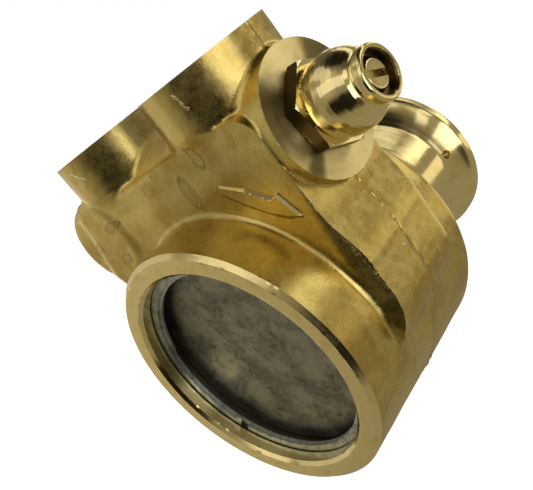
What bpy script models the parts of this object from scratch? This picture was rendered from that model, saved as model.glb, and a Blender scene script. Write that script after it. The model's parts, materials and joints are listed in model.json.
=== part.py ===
"""Rotary vane pump with a clamp flange, two top ports and an adjustable relief valve.

Frame: the shaft axis is the Y axis and the drive face of the clamp flange is Y = 0.
+Y points out of the drive end, +Z to the ports, +X along the relief valve.
Depths below are measured from the rim face at the cover end towards the drive end.
"""
import math

import bmesh
import bpy
from mathutils import Matrix, Vector

MM = 0.001
GAP = 0.3                     # clearance between pieces that touch

# Pump body
BODY_LENGTH = 83.9            # rim face to drive face
BARREL_R = 31.6
BARREL_END = 50.4             # depth where the barrel has turned in to the shoulder
NECK_R = 17.5
FLANGE_R = 21.2
FLANGE_START = 77.8           # depth where the neck flares out to the flange
PARTING_DEPTH = 27.3          # forging parting plane, and the plane of ports and gallery
BLOCK_FRONT = 13.2            # depth of the flat front face of the port block
BLOCK_TOP = 44.7
BORE_R = 26.45                # cover bore
LINER_R = 24.2
SEAL_BORE_R = 12.6
BEARING_R = 14.0
DRIVE_RECESS_R = 15.4

# Ports
PORT_X = 19.45
PORT_BOSS_R = 15.4
PORT_TOP = 56.2
PORT_MOUTH_R = 8.7
PORT_BORE_R = 7.2

# Relief valve
GALLERY_Z = 35.9
GALLERY_R = 14.0
GALLERY_END = 37.0            # spot face of the relief valve
LOBE = (-30.4, 35.6)          # centre of the rounded left end of the block, (x, z)
LOBE_R = 10.9
LOBE_NECK = [(-21.0, BLOCK_TOP), (-26.0, 47.4)]   # outline between the flat top and the rounded end
WALL_X = 36.0                 # side walls of the block
HEX_FLATS = 16.6

# Rotating group
SHAFT_R = 6.0
ROTOR_R = 18.7
ROTOR_FRONT = 19.9
ROTOR_WIDTH = 14.4
VANE_COUNT = 4
VANE_THICKNESS = 3.2
CAM_R = 20.6
CAM_OFFSET = 1.6
BALL_COUNT = 7
BALL_R = 2.2
BALL_PITCH_R = 10.0

ROUND = 40                    # segments of a large round


def at_depth(depth):
    """Y, in millimetres, of a depth measured from the rim face."""
    return depth - BODY_LENGTH


def clear_objects():
    for item in list(bpy.data.objects):
        bpy.data.objects.remove(item, do_unlink=True)


def make_material(name, colour, roughness, metallic):
    material = bpy.data.materials.new(name)
    material.use_nodes = True
    shader = material.node_tree.nodes["Principled BSDF"]
    shader.inputs["Base Color"].default_value = (*colour, 1.0)
    shader.inputs["Roughness"].default_value = roughness
    shader.inputs["Metallic"].default_value = metallic
    return material


FINISHES = {
    "forged_brass": ((0.52, 0.40, 0.17), 0.45, 1.0),
    "polished_brass": ((0.78, 0.66, 0.33), 0.18, 1.0),
    "cover_steel": ((0.28, 0.27, 0.24), 0.5, 0.8),
    "ring_steel": ((0.33, 0.34, 0.35), 0.3, 1.0),
    "bright_steel": ((0.62, 0.63, 0.64), 0.22, 1.0),
    "carbon": ((0.04, 0.04, 0.045), 0.5, 0.0),
    "ceramic": ((0.80, 0.78, 0.72), 0.35, 0.0),
    "rubber": ((0.02, 0.02, 0.02), 0.7, 0.0),
}


def new_object(name, mesh_builder, finish, location=(0.0, 0.0, 0.0)):
    """Turn a finished bmesh into a named object; location is in millimetres."""
    bmesh.ops.recalc_face_normals(mesh_builder, faces=mesh_builder.faces)
    mesh = bpy.data.meshes.new(name)
    mesh_builder.to_mesh(mesh)
    mesh_builder.free()
    item = bpy.data.objects.new(name, mesh)
    bpy.context.scene.collection.objects.link(item)
    item.location = Vector(location) * MM
    mesh.materials.append(make_material(name, *FINISHES[finish]))
    smooth(item)
    return item


def smooth(item):
    item.data.shade_smooth()
    item.data.set_sharp_from_angle(angle=math.radians(35))


AXES = {
    "X": Matrix(((0, 0, 1), (0, 1, 0), (-1, 0, 0))),
    "Y": Matrix(((1, 0, 0), (0, 0, 1), (0, -1, 0))),
    "Z": Matrix.Identity(3),
}


def lathe(profile, axis="Y", segments=ROUND):
    """Solid of revolution from a closed (radius, height) profile in millimetres."""
    builder = bmesh.new()
    frame = AXES[axis]
    rings = []
    for radius, height in profile:
        if radius < 1e-6:
            point = frame @ Vector((0.0, 0.0, height))
            rings.append([builder.verts.new(point * MM)])
            continue
        ring = []
        for step in range(segments):
            turn = 2.0 * math.pi * step / segments
            point = Vector((radius * math.cos(turn), radius * math.sin(turn), height))
            ring.append(builder.verts.new((frame @ point) * MM))
        rings.append(ring)
    for first, second in zip(rings, rings[1:] + rings[:1]):
        bridge(builder, first, second, segments)
    return builder


def bridge(builder, first, second, segments):
    """Faces between two rings, either of which may be a single point on the axis."""
    if len(first) == 1 and len(second) == 1:
        return
    for step in range(segments):
        follow = (step + 1) % segments
        corners = [first[step % len(first)], second[step % len(second)]]
        if len(second) > 1:
            corners.append(second[follow])
        if len(first) > 1:
            corners.append(first[follow])
        builder.faces.new(corners)


def box(low, high):
    """Box between two corners in millimetres."""
    builder = bmesh.new()
    bmesh.ops.create_cube(builder, size=1.0)
    for vert in builder.verts:
        for index in range(3):
            share = vert.co[index] + 0.5
            vert.co[index] = (low[index] + share * (high[index] - low[index])) * MM
    return builder


def extrude_outline(points, low, high, axis="Y"):
    """Prism from an outline; for axis Y the outline is (x, z) and low, high are Y values."""
    builder = bmesh.new()
    near = []
    for first, second in points:
        place = {"Y": (first, low, second), "X": (low, first, second), "Z": (first, second, low)}[axis]
        near.append(builder.verts.new(Vector(place) * MM))
    face = builder.faces.new(near)
    moved = bmesh.ops.extrude_face_region(builder, geom=[face])
    step = {"Y": (0, 1, 0), "X": (1, 0, 0), "Z": (0, 0, 1)}[axis]
    lifted = [part for part in moved["geom"] if isinstance(part, bmesh.types.BMVert)]
    bmesh.ops.translate(builder, verts=lifted, vec=Vector(step) * (high - low) * MM)
    return builder


def arc(centre, radius, start, end, steps):
    """Points of an arc in degrees, both ends included."""
    points = []
    for step in range(steps + 1):
        turn = math.radians(start + (end - start) * step / steps)
        points.append((centre[0] + radius * math.cos(turn), centre[1] + radius * math.sin(turn)))
    return points


def combine(item, builder, operation, location=(0.0, 0.0, 0.0)):
    """Boolean an item with a shape given as a bmesh, and keep the result as its mesh."""
    bmesh.ops.recalc_face_normals(builder, faces=builder.faces)
    mesh = bpy.data.meshes.new("tool")
    builder.to_mesh(mesh)
    builder.free()
    tool = bpy.data.objects.new("tool", mesh)
    bpy.context.scene.collection.objects.link(tool)
    tool.location = Vector(location) * MM
    change = item.modifiers.new("cut", "BOOLEAN")
    change.operation = operation
    change.solver = "EXACT"
    change.object = tool
    bpy.context.view_layer.update()
    graph = bpy.context.evaluated_depsgraph_get()
    result = bpy.data.meshes.new_from_object(item.evaluated_get(graph))
    item.modifiers.remove(change)
    item.data = result
    bpy.data.objects.remove(tool, do_unlink=True)
    bpy.data.meshes.remove(mesh)
    smooth(item)


def bevelled(builder, width, segments=2, angle=50):
    """Bevel the sharp edges of a bmesh; the width is in millimetres."""
    sharp = []
    for edge in builder.edges:
        if len(edge.link_faces) == 2 and edge.calc_face_angle(0.0) > math.radians(angle):
            sharp.append(edge)
    bmesh.ops.bevel(builder, geom=sharp, offset=width * MM, segments=segments,
                    affect="EDGES", profile=0.5, clamp_overlap=True)
    return builder


def round_bar(radius, low, high, axis="Y", segments=24):
    """Plain cylinder from low to high along an axis through the local origin."""
    return lathe([(0, low), (radius, low), (radius, high), (0, high)], axis, segments)


def ring_profile(inner, outer, low, high):
    return [(inner, low), (outer, low), (outer, high), (inner, high)]


# ---------------------------------------------------------------- pump body

def barrel_profile():
    """Outline of the turned outside, from the axis at the rim to the drive face."""
    y = at_depth
    return [
        (0, y(0)), (BARREL_R - 1.0, y(0)), (BARREL_R, y(1.0)), (BARREL_R, y(BARREL_END - 0.8)),
        (BARREL_R - 0.5, y(BARREL_END + 0.3)), (BARREL_R - 1.8, y(BARREL_END + 1.0)),
        (24.6, y(54.8)), (20.2, y(58.6)), (18.2, y(61.9)), (NECK_R, y(65.4)),
        (NECK_R, y(FLANGE_START)), (FLANGE_R - 0.3, y(81.1)), (FLANGE_R, y(81.5)), (FLANGE_R, y(83.5)),
        (FLANGE_R - 0.4, 0.0), (0, 0.0),
    ]


def block_outline():
    """Port block seen along the shaft: rounded left end, upright side walls, flat top."""
    shoulder = arc((WALL_X - 9.3, -1.5), 9.3, -75, -5, 4)
    wall = [(WALL_X, 6.0), (WALL_X - 0.3, 12.0), (WALL_X - 1.6, 20.0), (WALL_X - 1.6, 36.0)]
    top_right = arc((28.4, 38.7), BLOCK_TOP - 38.7, 0, 90, 3)
    lobe = LOBE_NECK + arc(LOBE, LOBE_R, 98, 228, 9)
    left_wall = [(-x, z) for x, z in reversed(shoulder + wall[:1])]
    return shoulder + wall + top_right + lobe + left_wall


def bore_cutter_profile():
    """Stepped bore right through the body, with both retaining ring grooves."""
    y = at_depth
    return [
        (0, y(-1)), (BORE_R + 0.75, y(-1)), (BORE_R + 0.75, y(0)), (BORE_R, y(0.7)), (BORE_R, y(3.3)),
        (27.8, y(3.3)), (27.8, y(5.4)), (BORE_R, y(5.4)), (BORE_R, y(12.4)),
        (LINER_R + 0.15, y(12.4)), (LINER_R + 0.15, y(42.6)), (SEAL_BORE_R, y(42.6)),
        (SEAL_BORE_R, y(60.6)), (BEARING_R + 0.1, y(60.6)), (BEARING_R + 0.1, y(70.2)),
        (14.9, y(70.2)), (14.9, y(71.6)), (BEARING_R + 0.1, y(71.6)), (BEARING_R + 0.1, y(72.6)),
        (DRIVE_RECESS_R, y(73.4)), (DRIVE_RECESS_R, y(83.3)), (DRIVE_RECESS_R + 0.9, 1.0),
        (0, 1.0),
    ]


def build_pump_body():
    gallery = (0.0, at_depth(PARTING_DEPTH), GALLERY_Z)
    body = new_object("pump_body", lathe(barrel_profile()), "forged_brass")
    half_depth = PARTING_DEPTH - BLOCK_FRONT
    block = extrude_outline(block_outline(), gallery[1] - half_depth, gallery[1] + half_depth)
    combine(body, bevelled(block, 1.5, 1, 75), "UNION")
    bar_r = GALLERY_R - 0.1
    bar = lathe([(0, -24), (bar_r, -24), (bar_r, GALLERY_END), (0, GALLERY_END)], "X", 32)
    combine(body, bar, "UNION", gallery)
    for side in (-1, 1):
        foot = [(0, 34.0), (PORT_BOSS_R - 1.6, 34.0), (PORT_BOSS_R - 1.6, BLOCK_TOP - 3.0)]
        boss = lathe(foot + [(PORT_BOSS_R, BLOCK_TOP), (PORT_BOSS_R, PORT_TOP), (0, PORT_TOP)], "Z", 32)
        combine(body, boss, "UNION", (side * PORT_X, gallery[1], 0.0))
    web = box((-12.0, gallery[1] - 5.0, 30.0), (12.0, gallery[1] + 5.0, PORT_TOP - 0.4))
    combine(body, web, "UNION")
    add_arrow(body)
    combine(body, lathe(bore_cutter_profile(), segments=40), "DIFFERENCE")
    cut_ports(body, gallery[1])
    cut_relief_bore(body, gallery)
    weep = round_bar(1.1, 12.0, 19.0, "X", 8)
    combine(body, weep, "DIFFERENCE", (0.0, at_depth(77.0), 0.0))
    return body


def add_arrow(body):
    """Raised arrow on the flat face; it points to the relief valve side."""
    outline = [(16.7, 33.3), (20.9, 29.1), (24.6, 25.8), (28.0, 23.8), (30.8, 22.8), (28.6, 28.8),
               (27.2, 28.2), (22.5, 32.3), (17.2, 35.3)]
    front = at_depth(BLOCK_FRONT)
    combine(body, extrude_outline(outline, front - 0.5, front + 1.0), "UNION")


def cut_ports(body, port_y):
    for side in (-1, 1):
        profile = [
            (0, 14.5), (5.4, 14.5), (5.4, 28.0), (PORT_BORE_R, 28.0), (PORT_BORE_R, 43.0),
            (PORT_MOUTH_R - 0.4, 44.0), (PORT_MOUTH_R, PORT_TOP - 0.8), (PORT_MOUTH_R + 0.9, PORT_TOP + 0.1),
            (PORT_MOUTH_R + 0.9, PORT_TOP + 1.0), (0, PORT_TOP + 1.0),
        ]
        combine(body, lathe(profile, "Z", 20), "DIFFERENCE", (side * PORT_X, port_y, 0.0))


def cut_relief_bore(body, gallery):
    profile = [
        (0, -16.0), (2.9, -16.0), (2.9, 1.6), (5.15, 1.6), (5.15, 25.4), (6.7, 25.4), (6.7, 35.6),
        (7.9, 36.4), (7.9, GALLERY_END + 1.0), (0, GALLERY_END + 1.0),
    ]
    combine(body, lathe(profile, "X", 20), "DIFFERENCE", gallery)


# ---------------------------------------------------------------- cover end

def build_cover():
    y = at_depth
    cover = [(0, y(7.3)), (25.6, y(7.3)), (26.2, y(7.8)), (26.2, y(8.7)), (24.9, y(8.7)),
             (24.9, y(10.9)), (26.2, y(10.9)), (26.2, y(11.9)), (0, y(11.9))]
    new_object("end_cover", lathe(cover), "cover_steel")
    seal = ring_profile(25.15, 26.25, y(9.0), y(10.6))
    new_object("cover_o_ring", lathe(seal), "rubber")
    build_retaining_ring("cover_retaining_ring", 25.0, 27.5, 3.6, 5.1, 4.0, 220.0)


def build_retaining_ring(name, inner, outer, low, high, gap_degrees, gap_at):
    """Flat ring with one gap; it is an extruded C in the XZ plane."""
    start = gap_at + gap_degrees / 2.0
    end = gap_at - gap_degrees / 2.0 + 360.0
    outline = arc((0, 0), outer, start, end, 36)
    outline += arc((0, 0), inner, end, start, 36)
    ring = extrude_outline(outline, at_depth(low), at_depth(high))
    new_object(name, ring, "ring_steel")


# ---------------------------------------------------------------- pump cartridge

def build_cartridge():
    y = at_depth
    dowel_z = 22.3
    plates = (("front_bearing_plate", 12.7, 19.4), ("rear_bearing_plate", 34.8, 42.3))
    for name, low, high in plates:
        inner = SHAFT_R + 0.15
        plate = new_object(name, lathe(ring_profile(inner, LINER_R, y(low), y(high))), "carbon")
        combine(plate, dowel_hole(), "DIFFERENCE", (0.0, 0.0, dowel_z))
    build_liner(dowel_z)
    dowel = round_bar(1.2, y(13.4), y(41.6), "Y", 12)
    new_object("liner_dowel", dowel, "bright_steel", (0.0, 0.0, dowel_z))


def dowel_hole():
    return round_bar(1.5, at_depth(13.0), at_depth(42.0), "Y", 12)


def build_liner(dowel_z):
    """Cam ring: round outside, offset round inside, one window for each port."""
    low = at_depth(19.7)
    high = at_depth(34.5)
    liner = new_object("liner_ring", round_bar(LINER_R, low, high, "Y", ROUND), "cover_steel")
    combine(liner, round_bar(CAM_R, low - 1.0, high + 1.0, "Y", ROUND), "DIFFERENCE",
            (0.0, 0.0, -CAM_OFFSET))
    combine(liner, dowel_hole(), "DIFFERENCE", (0.0, 0.0, dowel_z))
    for side in (-1, 1):
        window = box((min(side * 14.0, side * 30.0), at_depth(22.8), 2.0),
                     (max(side * 14.0, side * 30.0), at_depth(31.8), 16.5))
        combine(liner, window, "DIFFERENCE")


def build_rotor():
    low = at_depth(ROTOR_FRONT)
    high = low + ROTOR_WIDTH
    middle = (low + high) / 2.0
    profile = ring_profile(SHAFT_R + 0.2, ROTOR_R, low - middle, high - middle)
    rotor = new_object("rotor", lathe(profile), "bright_steel", (0.0, middle, 0.0))
    half = VANE_THICKNESS / 2.0
    inner = 9.6
    for index in range(VANE_COUNT):
        turn = Matrix.Rotation(math.radians(45 + 360.0 * index / VANE_COUNT), 4, "Y")
        slot = box((inner, -20.0, -half - 0.1), (ROTOR_R + 2.0, 20.0, half + 0.1))
        bmesh.ops.transform(slot, matrix=turn, verts=slot.verts)
        combine(rotor, slot, "DIFFERENCE", (0.0, middle, 0.0))
        vane = box((inner + 0.4, low - middle, -half), (ROTOR_R, high - middle, half))
        bmesh.ops.transform(vane, matrix=turn, verts=vane.verts)
        new_object(f"vane_{index + 1}", vane, "carbon", (0.0, middle, 0.0))
    key_way = box((-1.7, -20.0, 0.0), (1.7, 20.0, SHAFT_R + 2.2))
    combine(rotor, key_way, "DIFFERENCE", (0.0, middle, 0.0))
    return middle


def build_shaft(rotor_middle):
    y = at_depth
    profile = [(0, y(14.4)), (SHAFT_R - 0.6, y(14.4)), (SHAFT_R, y(15.0)), (SHAFT_R, y(70.5)),
               (5.3, y(70.5)), (5.3, y(71.7)), (SHAFT_R, y(71.7)), (SHAFT_R, y(78.6)),
               (SHAFT_R - 0.6, y(79.2)), (0, y(79.2))]
    shaft = new_object("shaft", lathe(profile, segments=32), "bright_steel")
    for side in (-1, 1):
        flat = box((min(side * 2.5, side * 8.0), y(73.8), -8.0), (max(side * 2.5, side * 8.0), y(80.0), 8.0))
        combine(shaft, flat, "DIFFERENCE")
    half = ROTOR_WIDTH / 2.0
    key_way = box((-1.7, rotor_middle - half, 3.9), (1.7, rotor_middle + half, SHAFT_R + 1.0))
    combine(shaft, key_way, "DIFFERENCE")
    key = box((-1.45, -half + 0.3, 4.15), (1.45, half - 0.3, SHAFT_R + 1.9))
    new_object("rotor_key", key, "bright_steel", (0.0, rotor_middle, 0.0))
    build_snap_ring("shaft_snap_ring", 5.45, 7.3, 70.65, 71.55)


def build_snap_ring(name, inner, outer, low, high):
    outline = arc((0, 0), outer, 25.0, 335.0, 20)
    outline += arc((0, 0), inner, 335.0, 25.0, 20)
    new_object(name, extrude_outline(outline, at_depth(low), at_depth(high)), "ring_steel")


# ---------------------------------------------------------------- shaft seal

def build_shaft_seal():
    y = at_depth
    seat = ring_profile(6.6, 10.4, y(42.9), y(46.4))
    new_object("seal_seat", lathe(seat, segments=32), "ceramic")
    cup = [(10.7, y(42.9)), (12.4, y(42.9)), (12.4, y(46.9)), (10.7, y(46.9))]
    new_object("seal_seat_cup", lathe(cup, segments=32), "rubber")
    face = ring_profile(6.3, 9.6, y(46.7), y(49.2))
    new_object("seal_face_ring", lathe(face, segments=32), "carbon")
    new_object("seal_spring", coil(8.2, 0.5, 49.8, 54.4, 3.0, 12), "bright_steel")
    collar = [(6.3, y(55.2)), (10.2, y(55.2)), (10.2, y(56.2)), (8.4, y(56.2)), (8.4, y(57.4)),
              (6.3, y(57.4))]
    new_object("seal_collar", lathe(collar, segments=32), "bright_steel")
    slinger = [(6.25, y(57.8)), (11.4, y(58.2)), (11.4, y(58.9)), (7.4, y(59.4)), (6.25, y(59.4))]
    new_object("slinger", lathe(slinger, segments=32), "rubber")


def coil(radius, wire, low, high, turns, per_turn, axis="Y"):
    """Round wire wound round an axis; low and high are the wire's centre at each end."""
    sides = 6
    builder = bmesh.new()
    count = int(turns * per_turn)
    if axis == "Y":
        low = at_depth(low)
        high = at_depth(high)
    pitch = (high - low) / turns
    frame = AXES[axis]
    rings = []
    for step in range(count + 1):
        turn = 2.0 * math.pi * turns * step / count
        outward = Vector((math.cos(turn), math.sin(turn), 0.0))
        along = Vector((-math.sin(turn) * radius, math.cos(turn) * radius, pitch / (2.0 * math.pi)))
        up = along.normalized().cross(outward)
        centre = outward * radius + Vector((0, 0, low + (high - low) * step / count))
        ring = []
        for side in range(sides):
            angle = 2.0 * math.pi * side / sides
            point = centre + wire * (math.cos(angle) * outward + math.sin(angle) * up)
            ring.append(builder.verts.new((frame @ point) * MM))
        rings.append(ring)
    for first, second in zip(rings, rings[1:]):
        bridge(builder, first, second, sides)
    builder.faces.new(rings[0])
    builder.faces.new(rings[-1])
    return builder


# ---------------------------------------------------------------- bearing

def build_bearing():
    y = at_depth
    middle = y(65.5)
    half = 4.3
    groove = [(-2.0, 0.0), (-1.2, -0.95), (1.2, -0.95), (2.0, 0.0)]
    inner_edge = 8.1
    inner = [(SHAFT_R + 0.2, -half), (inner_edge, -half)]
    inner += [(inner_edge + depth * 0.55, height) for height, depth in groove]
    inner += [(inner_edge, half), (SHAFT_R + 0.2, half)]
    new_object("bearing_inner_ring", lathe(inner, segments=36), "bright_steel", (0, middle, 0))
    outer_edge = 11.9
    outer = [(BEARING_R - 0.1, -half), (BEARING_R - 0.1, half), (outer_edge, half)]
    outer += [(outer_edge - depth * 0.55, height) for height, depth in reversed(groove)]
    outer += [(outer_edge, -half)]
    new_object("bearing_outer_ring", lathe(outer, segments=36), "bright_steel", (0, middle, 0))
    cage_profile = ring_profile(9.1, 10.9, -2.9, 2.9)
    cage = new_object("bearing_cage", lathe(cage_profile, segments=28), "polished_brass", (0, middle, 0))
    for index in range(BALL_COUNT):
        turn = 2.0 * math.pi * index / BALL_COUNT
        place = (BALL_PITCH_R * math.sin(turn), 0.0, BALL_PITCH_R * math.cos(turn))
        pocket = bmesh.new()
        bmesh.ops.create_icosphere(pocket, subdivisions=2, radius=(BALL_R + 0.35) * MM)
        world = (place[0], middle, place[2])
        combine(cage, pocket, "DIFFERENCE", world)
        ball = bmesh.new()
        bmesh.ops.create_icosphere(ball, subdivisions=2, radius=(BALL_R - 0.1) * MM)
        new_object(f"bearing_ball_{index + 1}", ball, "bright_steel", world)
    for name, low, high in (("bearing_shield_front", 61.35, 61.85), ("bearing_shield_rear", 69.15, 69.65)):
        shield = ring_profile(8.5, 11.6, y(low), y(high))
        new_object(name, lathe(shield, segments=32), "ring_steel")
    build_retaining_ring("bearing_retaining_ring", 12.3, 14.7, 70.45, 71.35, 30.0, -60.0)


# ---------------------------------------------------------------- relief valve

def build_relief_valve():
    place = (0.0, at_depth(PARTING_DEPTH), GALLERY_Z)
    seat = [(1.9, 1.9), (4.9, 1.9), (4.9, 5.4), (2.6, 5.4), (1.9, 4.7)]
    new_object("relief_seat", lathe(seat, "X", 24), "bright_steel", place)
    poppet = [(0, -1.9), (1.55, -1.9), (2.3, -0.6), (4.4, 0.0), (4.4, 4.6), (2.0, 4.6), (2.0, 9.4), (0, 9.4)]
    new_object("relief_poppet", lathe(poppet, "X", 24), "polished_brass", (6.0, place[1], place[2]))
    spring = coil(3.1, 0.5, 11.2, 27.0, 7.0, 10, "X")
    new_object("relief_spring", spring, "bright_steel", place)
    spring_seat = [(0, 0.0), (4.4, 0.0), (4.4, 1.2), (2.2, 2.0), (0, 2.0)]
    new_object("spring_seat", lathe(spring_seat, "X", 24), "polished_brass", (27.9, place[1], place[2]))
    build_adjusting_screw(place)
    build_relief_cap(place)


def build_adjusting_screw(place):
    profile = [(0, 0.0), (2.9, 0.0), (2.9, 4.0), (2.0, 4.0), (2.0, 6.6), (2.9, 6.6), (2.9, 20.9),
               (2.6, 21.4), (0, 21.4)]
    start = 30.6
    screw = new_object("adjusting_screw", lathe(profile, "X", 24), "polished_brass", (start, place[1], place[2]))
    slot = box((19.6, -4.0, -0.65), (23.0, 4.0, 0.65))
    turn = Matrix.Rotation(math.radians(40), 4, "X")
    bmesh.ops.transform(slot, matrix=turn, verts=slot.verts)
    combine(screw, slot, "DIFFERENCE", (start, place[1], place[2]))
    ring = ring_profile(2.2, 3.0, 34.9, 36.9)
    new_object("screw_o_ring", lathe(ring, "X", 20), "rubber", place)


def build_relief_cap(place):
    """Shank in the gallery, hexagon, rounded barrel and collar with the screw in its mouth."""
    face = GALLERY_END + GAP
    barrel = [(0, 26.0), (6.4, 26.0), (6.4, face - 2.0), (5.6, face - 2.0), (5.6, face - 0.2),
              (6.4, face - 0.2), (6.4, 40.0), (7.5, 40.9), (8.05, 42.4), (8.05, 44.8), (7.6, 46.8),
              (6.7, 48.6), (5.5, 50.0), (5.0, 50.5), (5.35, 51.0), (5.45, 52.4), (5.1, 53.0), (0, 53.0)]
    cap = new_object("relief_cap", lathe(barrel, "X", 28), "polished_brass", place)
    corner = HEX_FLATS / 2.0 / math.cos(math.radians(30))
    corners = [(corner * math.cos(math.radians(38 + 60 * k)), corner * math.sin(math.radians(38 + 60 * k)))
               for k in range(6)]
    hexagon = extrude_outline(corners, face, 40.4, "X")
    combine(cap, hexagon, "UNION", place)
    hollow = [(0, 25.0), (5.0, 25.0), (5.0, 30.4), (3.2, 30.6), (3.2, 51.6), (4.1, 51.8), (4.3, 54.0),
              (0, 54.0)]
    combine(cap, lathe(hollow, "X", 20), "DIFFERENCE", place)
    seal = ring_profile(5.85, 7.6, 36.5, 37.1)
    new_object("cap_o_ring", lathe(seal, "X", 32), "rubber", place)


clear_objects()
build_pump_body()
build_cover()
build_cartridge()
ROTOR_MIDDLE = build_rotor()
build_shaft(ROTOR_MIDDLE)
build_shaft_seal()
build_bearing()
build_relief_valve()
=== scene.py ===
"""Looks of the rotary vane pump: forged brass body, turned relief valve, end cover and rings."""
import json
import math

import bpy
import numpy as np
from mathutils import Matrix, Vector


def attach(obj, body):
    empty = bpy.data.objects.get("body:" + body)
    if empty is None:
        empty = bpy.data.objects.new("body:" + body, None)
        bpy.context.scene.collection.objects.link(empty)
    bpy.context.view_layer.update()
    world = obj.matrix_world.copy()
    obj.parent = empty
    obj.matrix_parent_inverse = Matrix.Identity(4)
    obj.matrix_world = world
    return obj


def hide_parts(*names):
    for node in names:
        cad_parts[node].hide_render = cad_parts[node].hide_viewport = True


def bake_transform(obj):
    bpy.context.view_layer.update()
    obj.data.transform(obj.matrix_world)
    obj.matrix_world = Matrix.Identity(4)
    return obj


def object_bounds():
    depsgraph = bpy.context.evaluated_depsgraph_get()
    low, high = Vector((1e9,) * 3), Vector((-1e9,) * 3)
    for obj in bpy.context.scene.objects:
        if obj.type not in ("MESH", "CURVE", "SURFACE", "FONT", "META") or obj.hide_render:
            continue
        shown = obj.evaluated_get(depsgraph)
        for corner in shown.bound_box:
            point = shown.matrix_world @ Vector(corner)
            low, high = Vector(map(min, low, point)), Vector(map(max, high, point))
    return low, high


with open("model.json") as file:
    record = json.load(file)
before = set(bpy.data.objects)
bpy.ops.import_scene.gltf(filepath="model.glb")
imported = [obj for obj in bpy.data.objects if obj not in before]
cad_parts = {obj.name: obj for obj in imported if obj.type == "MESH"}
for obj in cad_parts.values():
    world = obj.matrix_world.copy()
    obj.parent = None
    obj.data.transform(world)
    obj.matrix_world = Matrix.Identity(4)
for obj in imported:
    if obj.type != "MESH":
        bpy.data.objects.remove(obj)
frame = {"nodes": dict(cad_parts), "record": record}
cad_low, cad_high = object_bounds()

# Shapes are written in millimetres as x, depth and z: depth runs along the shaft from the rim face.
MM = 0.001
BODY_LENGTH = 83.9            # rim face to drive face
PARTING = 27.3                # depth of the forging parting plane, ports and gallery
GALLERY_Z = 35.9              # height of the cross gallery that holds the relief valve
GALLERY_R = 14.1              # boss round the gallery
GALLERY_END = 37.0            # spot face under the relief cap
PORT_X = 19.45                # the ports stand at -PORT_X and +PORT_X
PORT_TOP = 56.2
BOSS_R = 15.4
BOSS_WAIST = 1.9              # how much thinner the bosses are towards the block
WEB_HALF = (12.0, 5.2)        # half width and half depth of the web between the bosses
PORT_PITCH = 1.41             # pipe thread
THREAD_FOOT = 43.0            # height where the port thread ends
TAP_R = 7.2
PORT_R = 5.4                  # inner hole of each port
WEEP_DEPTH = 77.0
WEEP_R = 1.1
FLAT = 13.2                   # depth of the flat front face
BLOCK_BACK = 41.4
LOBE = (-30.4, 35.6)          # centre of the rounded corner left of the ports, (x, z)
LOBE_R = 10.9
BARREL_R = 31.6
BARREL_END = 50.4
RIM_CHAMFER = 30.6            # radius of the chamfer where it meets the rim face
NICK = (32.6, -7.9)           # dent on the parting line, (x, z)
FLASH = 0.26                  # height and half width of the ridge on the parting line
RIPPLES = ((0.05, 17.0, 0.4), (0.018, 5.0, 1.9))     # height, wavelength and seed
CAP_PITCH = 0.8
HEX_HALF = 8.3                # axis of the relief cap to its wrench flats
HEX_SPAN = (37.3, 40.4)
SCREW_R = 2.9
SLOT_TURN = math.radians(-22)
SHAFT_R = 6.0
SHAFT_END = 79.2
RING_TURNS = ((3.95, 0.34), (4.68, 0.36))     # depth and half thickness of the front and rear turn
RING_R = (24.7, 27.5)
DIAGONAL = 0.7071


# ---------------------------------------------------------------- camera

def make_camera():
    data = bpy.data.cameras.new("camera")
    data.sensor_fit = "HORIZONTAL"
    data.sensor_width = 36.0
    data.lens = 51.6
    data.clip_start = 0.01
    camera = bpy.data.objects.new("camera", data)
    bpy.context.scene.collection.objects.link(camera)
    right = Vector((0.6077, 0.5158, -0.6038))
    up = Vector((0.2523, 0.5956, 0.7626))
    back = Vector((0.753, -0.6158, 0.2318))
    turn = Matrix((right, up, back)).transposed().to_4x4()
    camera.matrix_world = Matrix.Translation((0.1309, -0.1637, 0.0551)) @ turn
    bpy.context.scene.camera = camera


make_camera()


# ---------------------------------------------------------------- distance fields, in mm

def round_join(first, second, radius):
    """Union of two fields with a round fillet."""
    a = np.maximum(radius - first, 0)
    b = np.maximum(radius - second, 0)
    return np.maximum(radius, np.minimum(first, second)) - np.hypot(a, b)


def round_cut(first, second, radius):
    """Intersection of two fields with a rounded edge."""
    a = np.maximum(radius + first, 0)
    b = np.maximum(radius + second, 0)
    return np.minimum(-radius, np.maximum(first, second)) + np.hypot(a, b)


def rod(radial, along, radius, low, high, edge=0.0):
    """Cylinder between two stations, with its ends rounded."""
    ends = np.maximum(low - along, along - high)
    if edge <= 0:
        return np.maximum(radial - radius, ends)
    return round_cut(radial - radius, ends, edge)


def polygon(u, v, points):
    """Signed distance to a closed outline."""
    nearest = None
    sign = np.ones(u.shape, np.float32)
    for index, (au, av) in enumerate(points):
        bu, bv = points[index - 1]
        eu, ev = bu - au, bv - av
        wu, wv = u - au, v - av
        share = np.clip((wu * eu + wv * ev) / (eu * eu + ev * ev), 0, 1)
        reach = (wu - eu * share) ** 2 + (wv - ev * share) ** 2
        nearest = reach if nearest is None else np.minimum(nearest, reach)
        above, below, side = v >= av, v < bv, eu * wv > ev * wu
        flip = (above & below & side) | ~(above | below | side)
        sign = np.where(flip, -sign, sign)
    return sign * np.sqrt(nearest)


def about_gallery(d, z):
    """Distance from the axis of the cross gallery."""
    return np.hypot(d - PARTING, z - GALLERY_Z)


def arc(centre, radius, start, end, steps):
    """Points of an outline along an arc, from a start to an end angle in degrees."""
    turns = np.radians(np.linspace(start, end, steps + 1))
    return [(centre[0] + radius * math.cos(t), centre[1] + radius * math.sin(t)) for t in turns]


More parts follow.
